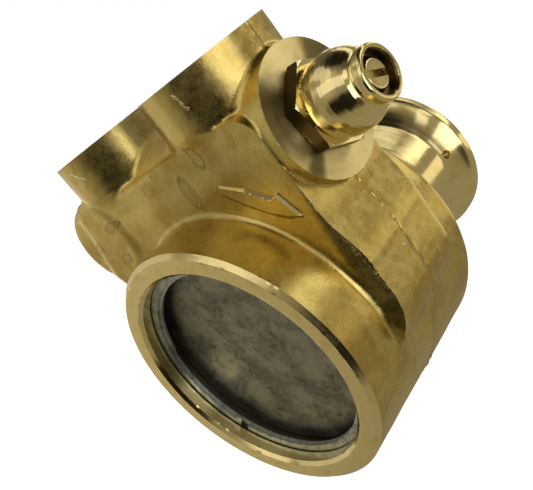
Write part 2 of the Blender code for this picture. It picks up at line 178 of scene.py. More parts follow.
def ripple(x, y, z, wave, seed):
    """Gentle unevenness between -1 and 1, from a few crossing waves."""
    total = 0.0
    for index in range(5):
        turn = seed + 2.4 * index
        a, b, c = math.cos(turn), math.sin(turn * 1.7), math.cos(turn * 2.3 + 1.0)
        rate = (2 * math.pi / wave) * (1 + 0.23 * index)
        total = total + np.sin((a * x + b * y + c * z) * rate + turn * 3)
    return total / 5.0


# ---------------------------------------------------------------- surface from a field

def grid_values(field, low, shape, step, block):
    """Field at the grid nodes; blocks far from the surface only get a sign."""
    counts = [size // block for size in shape]
    axes = [low[i] + (np.arange(counts[i]) * block + (block - 1) / 2) * step for i in range(3)]
    centre = np.stack(np.meshgrid(*axes, indexing="ij"), -1).reshape(-1, 3).astype(np.float32)
    coarse = field(*centre.T)
    reach = 0.5 * math.sqrt(3) * block * step + step
    near = np.nonzero(np.abs(coarse) < reach)[0]
    signs = np.where(coarse < 0, -1e3, 1e3).astype(np.float32).reshape(counts)
    values = signs.repeat(block, 0).repeat(block, 1).repeat(block, 2)
    local = np.stack(np.meshgrid(*[np.arange(block)] * 3, indexing="ij"), -1).reshape(-1, 3)
    corners = np.stack(np.unravel_index(near, counts), -1) * block
    for start in range(0, len(corners), 20000):
        index = (corners[start:start + 20000, None] + local).reshape(-1, 3)
        place = (np.asarray(low) + index * step).astype(np.float32)
        values[index[:, 0], index[:, 1], index[:, 2]] = field(*place.T)
    return values


def edge_points(field, values, low, step):
    """Where the grid lines cross the surface, with the four cells round each crossing."""
    inside = values < 0
    size = values.shape
    stride = np.array([size[1] * size[2], size[2], 1])
    points, cells, flips = [], [], []
    for axis in range(3):
        first = [slice(None)] * 3
        second = [slice(None)] * 3
        first[axis] = slice(None, -1)
        second[axis] = slice(1, None)
        index = np.stack(np.nonzero(inside[tuple(first)] != inside[tuple(second)]), -1)
        follow = index.copy()
        follow[:, axis] += 1
        near = values[tuple(index.T)]
        far = values[tuple(follow.T)]
        base = (np.asarray(low) + index * step).astype(np.float32)
        share_low = np.zeros(len(index), np.float32)
        share_high = np.ones(len(index), np.float32)
        share = near / (near - far)
        flips.append(near > 0)
        for _ in range(3):
            place = base.copy()
            place[:, axis] += share * step
            found = field(*place.T)
            same = (found < 0) == (near < 0)
            share_low = np.where(same, share, share_low)
            near = np.where(same, found, near)
            share_high = np.where(same, share_high, share)
            far = np.where(same, far, found)
            gap = near - far
            gap = np.where(np.abs(gap) < 1e-9, 1e-9, gap)
            share = np.clip(share_low + (share_high - share_low) * near / gap, share_low, share_high)
        place = base.copy()
        place[:, axis] += share * step
        points.append(place)
        one, two = (axis + 1) % 3, (axis + 2) % 3
        home = index @ stride
        cells.append(np.stack([home - stride[one] - stride[two], home - stride[two], home,
                               home - stride[one]], -1))
    return np.concatenate(points), np.concatenate(cells), np.concatenate(flips)


def slopes(field, points, reach=0.02):
    """Unit normals of the field at points."""
    total = np.zeros_like(points)
    for corner in ((1, 1, 1), (1, -1, -1), (-1, 1, -1), (-1, -1, 1)):
        way = np.array(corner, np.float32)
        total += way * field(*(points + way * reach).T)[:, None]
    return total / np.maximum(np.linalg.norm(total, axis=1, keepdims=True), 1e-9)


def contour(field, low, high, step, block=4):
    """Closed quad mesh of the surface where a field is zero, with its sharp edges kept."""
    low = np.array(low, float)
    shape = [int(math.ceil((h - l) / step / block)) * block for l, h in zip(low, high)]
    values = grid_values(field, low, shape, step, block)
    points, cells, flips = edge_points(field, values, low, step)
    normals = slopes(field, points)
    keys, inverse = np.unique(cells.ravel(), return_inverse=True)
    inverse = inverse.reshape(-1)
    count = np.bincount(inverse, minlength=len(keys)).astype(float)

    def gather(column):
        return np.bincount(inverse, weights=np.repeat(column, 4), minlength=len(keys))

    middle = np.stack([gather(points[:, i]) for i in range(3)], -1) / count[:, None]
    owner = inverse.reshape(-1, 4)
    matrix = np.zeros((len(keys), 3, 3))
    for i in range(3):
        for j in range(i, 3):
            matrix[:, i, j] = matrix[:, j, i] = gather(normals[:, i] * normals[:, j])
    reach = np.einsum("ei,eki->ek", normals, points[:, None] - middle[owner]).ravel()
    target = np.stack([
        np.bincount(inverse, weights=reach * np.repeat(normals[:, i], 4), minlength=len(keys))
        for i in range(3)], -1)
    matrix += np.eye(3) * 0.06
    shift = np.linalg.solve(matrix, target[:, :, None])[:, :, 0]
    corner = np.stack(np.unravel_index(keys, values.shape), -1) * step + low
    verts = np.clip(middle + shift, corner - 0.02 * step, corner + 1.02 * step)
    quads = np.where(flips[:, None], owner[:, ::-1], owner)
    return verts, quads


def place_mm(points):
    """From x, depth, z in mm to the row frame in metres."""
    moved = np.array(points, float)
    moved[:, 1] -= BODY_LENGTH
    return moved * MM


def mesh_object(name, verts, faces, body, sharp=32.0):
    """Object from vertices in metres and equal-sized faces, attached to a body if one is given."""
    mesh = bpy.data.meshes.new(name)
    sides = faces.shape[1]
    mesh.vertices.add(len(verts))
    mesh.vertices.foreach_set("co", np.asarray(verts, np.float32).ravel())
    mesh.loops.add(faces.size)
    mesh.loops.foreach_set("vertex_index", faces.astype(np.int32).ravel())
    mesh.polygons.add(len(faces))
    mesh.polygons.foreach_set("loop_start", np.arange(0, faces.size, sides, dtype=np.int32))
    mesh.update(calc_edges=True)
    mesh.validate()
    mesh.shade_smooth()
    mesh.set_sharp_from_angle(angle=math.radians(sharp))
    item = bpy.data.objects.new(name, mesh)
    bpy.context.scene.collection.objects.link(item)
    if body:
        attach(item, body)
    return item


# ---------------------------------------------------------------- pump body

def softened(points, rounds):
    """Cut the corners of a closed outline again and again until it is smooth."""
    for _ in range(rounds):
        cut = []
        for index, (au, av) in enumerate(points):
            bu, bv = points[(index + 1) % len(points)]
            cut.append((0.75 * au + 0.25 * bu, 0.75 * av + 0.25 * bv))
            cut.append((0.25 * au + 0.75 * bu, 0.25 * av + 0.75 * bv))
        points = cut
    return points


# Outline of the port block as x and z, seen along the shaft.
LOWER_CORNER = arc((26.2, -1.5), 9.3, -75, -5, 6)
RIGHT_WALL = [(35.7, 6.0), (35.95, 9.0), (35.6, 12.5), (35.0, 16.0), (34.45, 19.0), (34.3, 22.0),
              (34.3, 36.0)]
UPPER_CORNER = arc((28.4, 38.7), 6.0, 0, 90, 5)
LEFT_WALL = [(-21.0, 44.7), (-26.0, 47.2), (-32.0, 46.0), (-33.0, 38.0), (-36.6, 27.0), (-36.3, 12.0),
             (-36.0, 6.0)]
OUTLINE = softened(LOWER_CORNER + RIGHT_WALL + UPPER_CORNER + LEFT_WALL
                   + [(-x, z) for x, z in reversed(LOWER_CORNER)], 1)
# Turned profiles as radius and depth; the relief bore's as radius and x.
NECK = [(0, 40.0), (25.0, 40.0), (25.5, 50.0), (24.4, 54.4), (20.4, 58.4), (18.4, 61.6), (17.5, 65.4),
        (17.5, 83.9), (0, 83.9)]
FLANGE = [(0, 77.4), (17.4, 77.4), (20.8, 80.9), (21.2, 81.5), (21.2, 83.5), (20.8, 83.9), (0, 83.9)]
BORE = [(0, -3.0), (27.2, -3.0), (27.2, 0.0), (26.45, 0.75), (26.45, 3.3), (27.8, 3.3), (27.8, 5.4),
        (26.45, 5.4), (26.45, 12.4), (24.35, 12.4), (24.35, 42.6), (12.6, 42.6), (12.6, 60.6),
        (14.1, 60.6), (14.1, 70.2), (14.9, 70.2), (14.9, 71.6), (14.1, 71.6), (14.1, 72.6),
        (15.4, 73.4), (15.4, 83.1), (16.2, 83.9), (16.2, 87.0), (0, 87.0)]
RELIEF_BORE = [(0, -16.0), (2.9, -16.0), (2.9, 1.6), (5.15, 1.6), (5.15, 25.4), (6.7, 25.4), (6.7, 35.6),
               (7.9, 36.4), (7.9, 40.0), (0, 40.0)]
# Flow arrow as x and z, from its tail along the upper side to the tip and back.
ARROW = [(17.2, 35.3), (22.5, 32.2), (27.2, 28.2), (28.6, 28.8), (30.7, 22.9), (28.0, 23.8),
         (24.6, 25.8), (20.9, 29.1), (16.7, 33.3)]
ARROW_TIP = 4                  # index of the tip


def block_field(x, d, z):
    """Port block between the bosses and the barrel, with the parting step and the rolled front edge."""
    behind = np.maximum(d - PARTING, 0)
    outline = polygon(x, z, OUTLINE) + behind * 0.05 + np.where(d > PARTING + 0.1, 0.22, 0.0)
    flat_end = 29.8 + 0.14 * np.clip(z, 0, 29) + 0.45 * np.clip(-z, 0, 8)
    roll = np.maximum(x - flat_end, 0)
    front = FLAT + 0.32 * roll * roll / (35.6 - flat_end)
    left_edge = round_cut(outline, front - d, 1.6)
    right_edge = np.maximum(outline, (front - d) * 0.9)
    field = np.where(x > 0, right_edge, left_edge)
    return round_cut(field, d - BLOCK_BACK, 3.6)


def zigzag(along, around, pitch):
    """Triangle wave from 0 to 1 that winds round an axis once a pitch, for a thread's flanks."""
    return np.abs(((along / pitch + around / (2 * math.pi)) % 1.0) - 0.5) * 2.0


def forged_field(x, d, z):
    """The forging before any machining."""
    barrel = rod(np.hypot(x, z), d, BARREL_R, -4.0, BARREL_END, 3.4)
    block = block_field(x, d, z)
    lobe = rod(np.hypot(x - LOBE[0], z - LOBE[1]), d, LOBE_R, FLAT, 40.6, 1.8)
    block = round_join(block, lobe, 2.0)
    gallery = rod(about_gallery(d, z), x, GALLERY_R, -24.0, 39.0)
    block = round_join(block, gallery, 0.6)
    for side in (-1, 1):
        foot = np.clip((46.0 - z) / 4.0, 0, 1)
        radius = BOSS_R - BOSS_WAIST * foot * foot * (3 - 2 * foot)
        boss = rod(np.hypot(x - side * PORT_X, d - PARTING), z, radius, 28.0, 60.0, 0.5)
        block = round_join(block, boss, 1.1)
    web = np.maximum(np.abs(x) - WEB_HALF[0], np.abs(d - PARTING) - WEB_HALF[1])
    web = np.maximum(np.maximum(web, z - PORT_TOP + 0.4), 20.0 - z)
    block = round_join(block, web, 1.8)
    field = round_join(barrel, block, 1.3)
    for height, wave, seed in RIPPLES:
        field = field + height * ripple(x, d, z, wave, seed)
    flash = np.exp(-((d - PARTING - 0.08 * np.sin(z * 0.9)) / FLASH) ** 2)
    field = field - FLASH * flash * (0.75 + 0.25 * np.sin(z * 2.1 + x))
    dent = np.sqrt((x - NICK[0]) ** 2 + ((d - PARTING) * 1.3) ** 2 + ((z - NICK[1]) * 0.5) ** 2) - 0.8
    return np.maximum(field, -dent)


def arrow_field(x, d, z):
    """Raised flow arrow on the flat front face."""
    side = (polygon(x, z, ARROW) + (FLAT - d) * 0.5 - 0.08) * 0.9
    return np.maximum(side, np.maximum(FLAT - 0.7 - d, d - FLAT - 0.6))


def port_field(x, d, z):
    """Both ports: threaded taper, tap hole, narrow inner hole and the countersink at the mouth."""
    side = np.abs(x) - PORT_X
    reach = np.hypot(side, d - PARTING)
    thread = zigzag(z, np.arctan2(d - PARTING, side), PORT_PITCH)
    taper = 7.85 + (z - THREAD_FOOT) * 0.03
    port = rod(reach, z, taper + 0.75 * thread, THREAD_FOOT, 70.0) * 0.62
    port = np.minimum(port, rod(reach, z, TAP_R, 28.0, 60.0))
    port = np.minimum(port, rod(reach, z, PORT_R, 14.5, 40.0))
    mouth = np.maximum((reach + (PORT_TOP - z) - 9.6) * DIAGONAL, PORT_TOP - 3.0 - z)
    return np.minimum(port, mouth)


def body_field(x, d, z):
    """The forging with its neck and flange, cut by every machined face and bore."""
    rho = np.hypot(x, z)
    field = forged_field(x, d, z)
    field = round_join(field, polygon(rho, d, NECK), 1.2)
    field = round_join(field, polygon(rho, d, FLANGE), 3.0)
    chamfer = np.minimum((rho - d - RIM_CHAMFER) * DIAGONAL, 3.0 - d)
    weep = np.maximum(np.hypot(d - WEEP_DEPTH, z), 12.0 - x) - WEEP_R
    cuts = (-d, chamfer, d - BODY_LENGTH, x - GALLERY_END, z - PORT_TOP, -polygon(rho, d, BORE),
            -polygon(about_gallery(d, z), x, RELIEF_BORE), -port_field(x, d, z), -weep)
    for cut in cuts:
        field = np.maximum(field, cut)
    return field


# ---------------------------------------------------------------- relief valve

SPRING_ENDS = (11.2, 27.0)     # centre of the relief spring's wire at each end, along the gallery
SPRING_TURNS = 7.0
SPRING_R = 3.1
SPRING_WIRE = 0.5
SPRING_SPLIT = 0.55            # share of the length that closes up when the poppet lifts


def spring_stretch(name, first, last):
    """Stretch of the relief spring between two shares of its length."""
    sides, steps_a_turn = 10, 24
    share = np.linspace(first, last, int(steps_a_turn * SPRING_TURNS * (last - first)) + 1)
    share = np.concatenate([share[:1], share, share[-1:]])[:, None]
    wire = np.full_like(share, SPRING_WIRE)
    wire[[0, -1]] = 0.03
    turn = 2 * math.pi * SPRING_TURNS * share
    around = 2 * math.pi * np.arange(sides)[None] / sides
    length = SPRING_ENDS[1] - SPRING_ENDS[0]
    x = SPRING_ENDS[0] + length * share + wire * np.sin(around)
    radial = SPRING_R + wire * np.cos(around)
    verts = np.stack([x, PARTING + radial * np.cos(turn), GALLERY_Z + radial * np.sin(turn)], -1)
    row = np.arange(len(share) - 1)[:, None] * sides
    here = row + np.arange(sides)[None]
    there = row + (np.arange(sides)[None] + 1) % sides
    quads = np.stack([here, there, there + sides, here + sides], -1).reshape(-1, 4)
    item = mesh_object(name, place_mm(verts.reshape(-1, 3)), quads, None, 60)
    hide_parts("relief_spring")
    split = SPRING_ENDS[0] + length * SPRING_SPLIT
    outer = SPRING_ENDS[0] if first == 0.0 else SPRING_ENDS[1]
    start, end = place_mm([(outer, PARTING, GALLERY_Z), (split, PARTING, GALLERY_Z)])
    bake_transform(item)
    return item


# Profiles of the cap and of its hollow, as radius and x.
CAP = [(0, 26.0), (6.4, 26.0), (6.4, 35.3), (5.6, 35.3), (5.6, 37.1), (6.4, 37.1), (6.4, 40.2),
       (6.9, 40.2), (7.55, 40.7), (7.85, 41.6), (8.02, 42.6), (8.08, 43.6), (8.02, 44.8), (7.86, 45.9),
       (7.58, 46.9), (7.18, 47.9), (6.66, 48.8), (6.05, 49.6), (5.45, 50.15), (5.05, 50.35),
       (4.98, 50.55), (5.1, 50.8), (5.4, 51.0), (5.46, 51.3), (5.46, 52.5), (5.3, 52.85), (5.05, 53.0),
       (0, 53.0)]
HOLLOW = [(0, 25.0), (5.0, 25.0), (5.0, 30.4), (3.25, 30.6), (3.25, 51.0), (4.05, 51.15), (4.05, 52.5),
          (4.45, 53.0), (4.45, 54.0), (0, 54.0)]


def cap_field(x, d, z):
    """Relief cap: threaded skirt, hexagon with chamfered corners, barrel with a lip, threaded bore."""
    radial = about_gallery(d, z)
    flats = np.full(x.shape, -99.0, np.float32)
    for turn in (68, 128, 188):
        way = math.radians(turn)
        reach = np.abs((d - PARTING) * math.cos(way) + (z - GALLERY_Z) * math.sin(way))
        flats = np.maximum(flats, reach - HEX_HALF)
    nut = np.maximum(flats, np.maximum(HEX_SPAN[0] - x, x - HEX_SPAN[1]))
    nut = np.maximum(nut, (radial - 9.05 - (HEX_SPAN[1] - x) * 1.73) * 0.5)
    nut = np.maximum(nut, (radial - 9.2 - (x - HEX_SPAN[0]) * 1.73) * 0.5)
    field = np.minimum(polygon(radial, x, CAP), nut)
    field = np.maximum(field, -polygon(radial, x, HOLLOW))
    thread = zigzag(x, np.arctan2(z - GALLERY_Z, d - PARTING), CAP_PITCH)
    cut = rod(radial, x, 3.3 + 0.32 * thread, 46.0, 51.3) * 0.7
    return np.maximum(field, -cut)


def screw_field(x, d, z):
    """Adjusting screw with its O-ring groove and screwdriver slot."""
    radial = about_gallery(d, z)
    screw_rod = rod(radial, x, SCREW_R, 30.6, 52.0, 0.25)
    groove = np.maximum(2.0 - radial, np.abs(x - 35.9) - 1.3)
    across = np.abs(-(d - PARTING) * math.sin(SLOT_TURN) + (z - GALLERY_Z) * math.cos(SLOT_TURN))
    slot = np.maximum(across - 0.68, 50.3 - x)
    return np.maximum(np.maximum(screw_rod, -groove), -slot)


# ---------------------------------------------------------------- rings and cover

def sector(x, z, start, sweep):
    """Field of a wedge about the shaft axis, from start and anticlockwise through sweep degrees."""
    middle = math.radians(start + sweep / 2)
    along = x * math.cos(middle) + z * math.sin(middle)
    across = np.abs(-x * math.sin(middle) + z * math.cos(middle))
    half = math.radians(sweep / 2)
    return across * math.cos(half) - along * math.sin(half)


def ring_field(x, d, z):
    """Two flat turns, one behind the other; the rear turn stands inward where it starts."""
    rho = np.hypot(x, z)
    front_slab, rear_slab = (np.abs(d - depth) - half for depth, half in RING_TURNS)
    band = np.maximum(RING_R[0] - rho, rho - RING_R[1])
    front = round_cut(band, front_slab, 0.12)
    lug = np.maximum(np.maximum(23.7 - rho, rho - 26.0), front_slab)
    front = np.minimum(front, np.maximum(lug, sector(x, z, 214.4, 3.6)))
    front = np.maximum(front, -sector(x, z, 218.0, 4.2))
    rear = round_cut(band, rear_slab, 0.12)
    inner = round_cut(np.maximum(24.0 - rho, rho - RING_R[1]), rear_slab, 0.12)
    inner = np.maximum(inner, sector(x, z, 62.0, 99.0))
    return np.minimum(front, np.minimum(rear, inner))


def cover_field(x, d, z):
    """End cover disc with the O-ring groove in its edge."""
    rho = np.hypot(x, z)
    disc = rod(rho, d, 26.2, 7.3, 11.9, 0.5)
    groove = np.maximum(24.9 - rho, np.abs(d - 9.8) - 1.1)
    return np.maximum(disc + 0.03 * ripple(x, d, z, 13.0, 2.2), -groove)


# ---------------------------------------------------------------- drive end

def shaft_field(x, d, z):
    """Shaft with its snap ring groove, flat drive tang, keyway and centre hole."""
    rho = np.hypot(x, z)
    ring_groove = np.maximum(5.3 - rho, np.abs(d - 71.1) - 0.6)
    beside_tang = np.maximum(2.5 - np.abs(x), 73.8 - d)
    key_way = np.maximum(np.maximum(np.abs(x) - 1.7, 3.9 - z), np.abs(d - 27.1) - 7.2)
    centre_hole = (rho - 1.6 + (SHAFT_END - d)) * DIAGONAL
    field = rod(rho, d, SHAFT_R, 14.4, SHAFT_END, 0.5)
    for cut in (ring_groove, beside_tang, key_way, centre_hole):
        field = np.maximum(field, -cut)
    return field


# ---------------------------------------------------------------- pieces

def piece(name, field, low, high, step, body_name, sharp=30.0, node=None):
    """Piece from a field inside a box of x, depth and z; it stands for a CAD node, if one is given."""
    verts, quads = contour(field, low, high, step)
    item = mesh_object(name, place_mm(verts), quads, body_name, sharp)
    if node:
        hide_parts(node)
    return item


body = piece("body_casting", body_field, (-45, -2, -34), (40, 86, 59), 0.45,
             "pump", 34, "pump_body")
arrow = piece("flow_arrow_raised", arrow_field, (16, 11.8, 22), (32, 14.6, 36.4), 0.16,
              "pump", 40)
spring_low = spring_stretch("relief_spring_low", 0.0, SPRING_SPLIT)
spring_high = spring_stretch("relief_spring_high", SPRING_SPLIT, 1.0)
cap = piece("relief_cap_turned", cap_field, (25, 16, 25), (54, 39, 47), 0.22,
            "pump", node="relief_cap")
screw = piece("adjusting_screw_turned", screw_field, (30, 23, 32), (53, 31, 40), 0.14,
              "screw", node="adjusting_screw")
ring = piece("cover_ring_spiral", ring_field, (-28.5, 2.8, -28.5), (28.5, 5.8, 28.5), 0.2,
             "pump", node="cover_retaining_ring")
cover = piece("end_cover_disc", cover_field, (-27.5, 6.5, -27.5), (27.5, 12.5, 27.5), 0.3,
              "pump", node="end_cover")
shaft = piece("shaft_ground", shaft_field, (-7, 13, -7), (7, 80, 7), 0.25,
              "rotating_group", node="shaft")


# ---------------------------------------------------------------- materials

class Graph:
    """Short way to write a node material; positions are in millimetres in the row frame."""

    def __init__(self, name):
        self.material = bpy.data.materials.new(name)
        self.material.use_nodes = True
        self.tree = self.material.node_tree
        self.shader = self.tree.nodes["Principled BSDF"]
        place = self.node("ShaderNodeTexCoord").outputs["Object"]
        self.place = self.vector("SCALE", place, scale=1000.0)

    def node(self, kind, **settings):
        made = self.tree.nodes.new(kind)
        for key, value in settings.items():
            setattr(made, key, value)
        return made

    def put(self, socket, value):
        if isinstance(value, bpy.types.NodeSocket):
            self.tree.links.new(value, socket)
        elif value is not None:
            socket.default_value = value

    def vector(self, operation, first, second=None, scale=None):
        made = self.node("ShaderNodeVectorMath", operation=operation)
        self.put(made.inputs[0], first)
        self.put(made.inputs[1], second)
        if scale is not None:
            self.put(made.inputs["Scale"], scale)
        return made.outputs["Value" if operation in ("LENGTH", "DOT_PRODUCT", "DISTANCE") else "Vector"]

    def math(self, operation, first, second=None):
        made = self.node("ShaderNodeMath", operation=operation)
        self.put(made.inputs[0], first)
        self.put(made.inputs[1], second)
        return made.outputs[0]

    def times(self, first, second):
        return self.math("MULTIPLY", first, second)

    def noise(self, size, detail=3.0, rough=0.55, place=None, warp=0.0):
        """Noise whose blobs are about size mm across."""
        made = self.node("ShaderNodeTexNoise")
        made.inputs["Scale"].default_value = 1.0 / size
        made.inputs["Detail"].default_value = detail
        made.inputs["Roughness"].default_value = rough
        made.inputs["Distortion"].default_value = warp
        self.put(made.inputs["Vector"], place or self.place)
        return made.outputs[0]

    def span(self, value, low, high, to_low, to_high, shape="SMOOTHSTEP"):
        """Value mapped from low..high to to_low..to_high, smoothly and held at the ends."""
        made = self.node("ShaderNodeMapRange", interpolation_type=shape)
        for socket, item in zip(made.inputs, (value, low, high, to_low, to_high)):
            self.put(socket, item)
        return made.outputs[0]

    def mix(self, share, first, second):
        made = self.node("ShaderNodeMix", data_type="RGBA", blend_type="MIX")
        self.put(made.inputs[0], share)
        for socket, value in ((made.inputs[6], first), (made.inputs[7], second)):
            self.put(socket, (*value, 1.0) if isinstance(value, tuple) else value)
        return made.outputs[2]

    def bump(self, height, distance, strength=1.0, below=None):
        made = self.node("ShaderNodeBump")
        made.inputs["Strength"].default_value = strength
        made.inputs["Distance"].default_value = distance * MM
        self.put(made.inputs["Height"], height)
        self.put(made.inputs["Normal"], below)
        return made.outputs[0]

    def about(self, axis, centre):
        """Distance from an axis and along it as one vector, and the direction of turning."""
        offset = self.vector("SUBTRACT", self.place, centre)
        way = {"X": (1, 0, 0), "Y": (0, 1, 0), "Z": (0, 0, 1)}[axis]
        flat = self.vector("CROSS_PRODUCT", way, offset)
        made = self.node("ShaderNodeCombineXYZ")
        self.put(made.inputs[0], self.vector("LENGTH", flat))
        self.put(made.inputs[1], self.vector("DOT_PRODUCT", offset, way))
        return made.outputs[0], self.vector("NORMALIZE", flat)

    def ragged(self, reach):
        """Position moved a little by noise, for irregular outlines."""
        made = self.node("ShaderNodeTexNoise")
        made.inputs["Scale"].default_value = 0.9
        self.put(made.inputs["Vector"], self.place)
        offset = self.vector("SUBTRACT", made.outputs["Color"], (0.5, 0.5, 0.5))
        return self.vector("ADD", self.place, self.vector("SCALE", offset, scale=2.0 * reach))

    def ellipse(self, place, centre, half):
        """Distance from a centre in half widths, both given as x and z: 1 on the ellipse."""
        offset = self.vector("SUBTRACT", place, (centre[0], 0.0, centre[1]))
        return self.vector("LENGTH", self.vector("MULTIPLY", offset, (1 / half[0], 0.0, 1 / half[1])))

    def loop(self, centre, half, fill):
        """Thin line round an ellipse seen along the shaft, and a fainter inside."""
        reach = self.ellipse(self.ragged(0.8), centre, half)
        away = self.math("ABSOLUTE", self.math("SUBTRACT", reach, 1.0))
        line = self.span(away, 0.04 / min(half), 0.32 / min(half), 1.0, 0.0)
        return self.math("MAXIMUM", line, self.span(reach, 0.7, 1.1, fill, 0.0))

    def stroke(self, start, end, radius):
        """Ragged patch along a line between two points given as x, depth and z."""
        first = Vector((start[0], start[1] - BODY_LENGTH, start[2]))
        run = Vector((end[0], end[1] - BODY_LENGTH, end[2])) - first
        offset = self.vector("SUBTRACT", self.ragged(0.5), first)
        along = self.vector("DOT_PRODUCT", offset, run)
        share = self.span(self.math("DIVIDE", along, run.length_squared), 0.0, 1.0, 0.0, 1.0, "LINEAR")
        nearest = self.node("ShaderNodeVectorMath", operation="SCALE")
        nearest.inputs[0].default_value = run
        self.put(nearest.inputs["Scale"], share)
        reach = self.vector("LENGTH", self.vector("SUBTRACT", offset, nearest.outputs[0]))
        return self.span(reach, 0.6 * radius, radius, 1.0, 0.0)

    def most(self, values):
        """Largest of several values."""
        total = values[0]
        for value in values[1:]:
            total = self.math("MAXIMUM", total, value)
        return total

    def finish(self, colour, roughness, normal=None, metallic=1.0):
        self.put(self.shader.inputs["Base Color"], colour)
        self.put(self.shader.inputs["Roughness"], roughness)
        self.put(self.shader.inputs["Normal"], normal)
        self.shader.inputs["Metallic"].default_value = metallic
        return self.material


# Ring marks on the flat front face: centre and half size as x and z, and how much the inside shows.
LOOPS = [((8.2, 36.6), (1.6, 3.7), 0.5), ((16.7, 42.2), (1.3, 2.5), 0.2),
         ((-33.0, 35.8), (1.3, 1.2), 0.3), ((-26.2, 30.8), (1.8, 1.2), 0.2),
         ((-22.4, 39.0), (2.9, 1.1), 0.6)]
# Bright dents and scratches: two ends as x, depth and z, and a radius.
STROKES = [((34.3, 38.8, 10.9), (34.3, 39.6, 10.0), 0.75), ((-8.4, 13.9, 44.9), (-4.6, 16.0, 45.2), 0.5),
           ((35.2, 22.6, 9.6), (35.3, 23.0, 9.0), 0.45), ((-20.1, 11.9, 54.0), (-16.8, 12.1, 51.0), 0.28),
           ((23.5, 12.4, 54.0), (24.3, 12.7, 50.3), 0.26), ((35.4, 25.2, 5.2), (35.5, 25.4, 4.6), 0.4)]
RIDGE = ((34.4, 13.6, 27.0), (35.9, 14.9, 2.0), 0.9)     # rubbed edge between the front and the side
SHADOW = ((12.0, 36.5), (18.0, 10.5))                    # painted shade over the middle of the front face, x and z


def brass_stains(g, patch, fine, grain):
    """Colour of blasted brass before its marks, from broad patches to grain."""
    broad = g.noise(11.0, 4.0, 0.62, warp=0.7)
    colour = g.mix(g.span(broad, 0.38, 0.62, 0.0, 1.0), (0.62, 0.445, 0.125), (0.78, 0.62, 0.215))
    colour = g.mix(g.span(patch, 0.50, 0.72, 0.0, 0.6), colour, (0.90, 0.75, 0.34))
    colour = g.mix(g.span(patch, 0.42, 0.28, 0.0, 0.5), colour, (0.46, 0.31, 0.09))
    colour = g.mix(g.span(fine, 0.58, 0.74, 0.0, 0.45), colour, (0.42, 0.28, 0.08))
    colour = g.mix(g.span(fine, 0.36, 0.26, 0.0, 0.4), colour, (0.94, 0.82, 0.46))
    return g.mix(g.span(grain, 0.32, 0.70, 0.26, 0.0), colour, (0.36, 0.27, 0.10))


def brass_chips(g, x):
    """Share of bare bright metal: dents, scratches and burrs on the rubbed edges."""
    edges = g.math("MAXIMUM", g.stroke(*RIDGE), g.span(x, 36.4, 36.8, 0.0, 1.0))
    burr = g.times(edges, g.span(g.noise(0.4, 2.0), 0.57, 0.63, 0.0, 0.8))
    return g.math("MAXIMUM", g.most([g.stroke(*item) for item in STROKES]), burr)


def painted_arrow_shadow(g):
    """Share of painted shadow along the arrow's lower side, from its tip back to its tail."""
    lower = [(x - 0.3, FLAT, z - 0.35) for x, z in ARROW[ARROW_TIP:]]
    return g.most([g.stroke(start, end, 0.5) for start, end in zip(lower, lower[1:])])


def forged_brass():
    """Blasted forging with a dark parting line, ring marks, chips, a rougher gate between the bosses,
    painted shadow under the arrow and painted shade over the middle of the front face.
    """
    g = Graph("forged_brass")
    parts = g.node("ShaderNodeSeparateXYZ")
    g.put(parts.inputs[0], g.place)
    x, y, z = parts.outputs
    patch = g.noise(2.6, 5.0, 0.68)
    fine = g.noise(0.9, 4.0, 0.7)
    grain = g.noise(0.30, 3.0, 0.6)
    colour = brass_stains(g, patch, fine, grain)
    seam = g.math("ABSOLUTE", g.math("ADD", y, BODY_LENGTH - PARTING - 0.25))
    seam = g.times(g.span(seam, 0.08, 0.30, 1.0, 0.0), g.span(g.noise(1.5), 0.40, 0.52, 0.25, 1.0))
    colour = g.mix(g.times(seam, 0.85), colour, (0.13, 0.07, 0.02))
    front = g.span(y, FLAT - BODY_LENGTH + 1.6, FLAT - BODY_LENGTH + 0.8, 0.0, 1.0)
    lines = g.times(g.most([g.loop(*item) for item in LOOPS]), front)
    colour = g.mix(g.times(lines, 0.45), colour, (0.24, 0.15, 0.05))
    # Painted shadow: dark strokes on the flat along the arrow's lower edges.
    colour = g.mix(g.times(painted_arrow_shadow(g), 0.8), colour, (0.16, 0.09, 0.03))
    chips = brass_chips(g, x)
    colour = g.mix(chips, colour, (0.97, 0.90, 0.60))
    # Painted shade: the middle of the front face is darkened.
    shadow = g.times(g.span(g.ellipse(g.place, *SHADOW), 0.5, 1.15, 1.0, 0.0), front)
    colour = g.mix(g.times(shadow, 0.34), colour, (0.22, 0.16, 0.06))
    gate = g.times(g.span(g.math("ABSOLUTE", x), 6.5, 4.5, 0.0, 1.0), g.span(z, 45.0, 46.5, 0.0, 1.0))
    colour = g.mix(g.times(gate, g.span(fine, 0.3, 0.6, 0.9, 0.5)), colour, (0.60, 0.50, 0.24))
    rough = g.math("ADD", g.span(patch, 0.3, 0.7, 0.24, 0.34), g.span(grain, 0.3, 0.7, -0.03, 0.05))
    rough = g.math("ADD", rough, g.times(gate, 0.22))
    normal = g.bump(grain, 0.018, 0.6)
    normal = g.bump(fine, 0.055, 0.35, normal)
    normal = g.bump(patch, 0.14, 0.35, normal)
    normal = g.bump(lines, 0.10, 0.8, normal)
    normal = g.bump(chips, 0.12, 0.8, normal)
    normal = g.bump(g.times(fine, gate), 0.5, 0.7, normal)
    return g.finish(colour, rough, normal)


WEDGE_SHARE = 0.86


def sector_share(g, centre, turn, inner, outer):
    """Share that holds within inner degrees of a direction about the gallery and is gone at outer."""
    offset = g.vector("MULTIPLY", g.vector("SUBTRACT", g.place, centre), (0.0, 1.0, 1.0))
    way = (0.0, math.cos(math.radians(turn)), math.sin(math.radians(turn)))
    near = g.vector("DOT_PRODUCT", g.vector("NORMALIZE", offset), way)
    return g.span(near, math.cos(math.radians(outer)), math.cos(math.radians(inner)), 0.0, WEDGE_SHARE)


